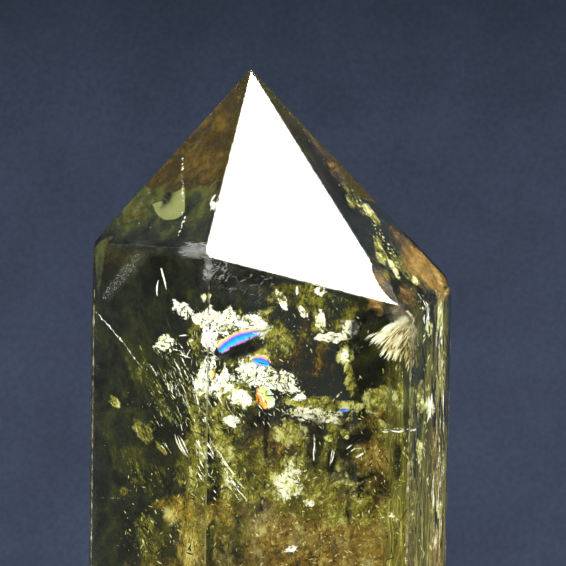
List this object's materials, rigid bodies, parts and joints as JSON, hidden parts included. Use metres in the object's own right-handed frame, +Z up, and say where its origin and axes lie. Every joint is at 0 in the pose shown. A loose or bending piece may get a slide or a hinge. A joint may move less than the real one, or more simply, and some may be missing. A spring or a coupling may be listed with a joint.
{
  "type": "crystal point",
  "caption": "Clear honey and olive quartz crystal, a six-sided column with a six-faced pointed tip and a flat cut base to stand on.",
  "frame": {"origin": "on the ground, under the middle of the crystal's outline", "axes": "+Z up along the column to the tip, -Y out of the widest column side, the front, and +X to that side's right seen from the front"},
  "size_m": [0.0406, 0.0314, 0.0814],
  "materials": {
    "citrine": "polished"
  },
  "bodies": {
    "root": {"crystal_point": "citrine"}
  },
  "joints": []
}
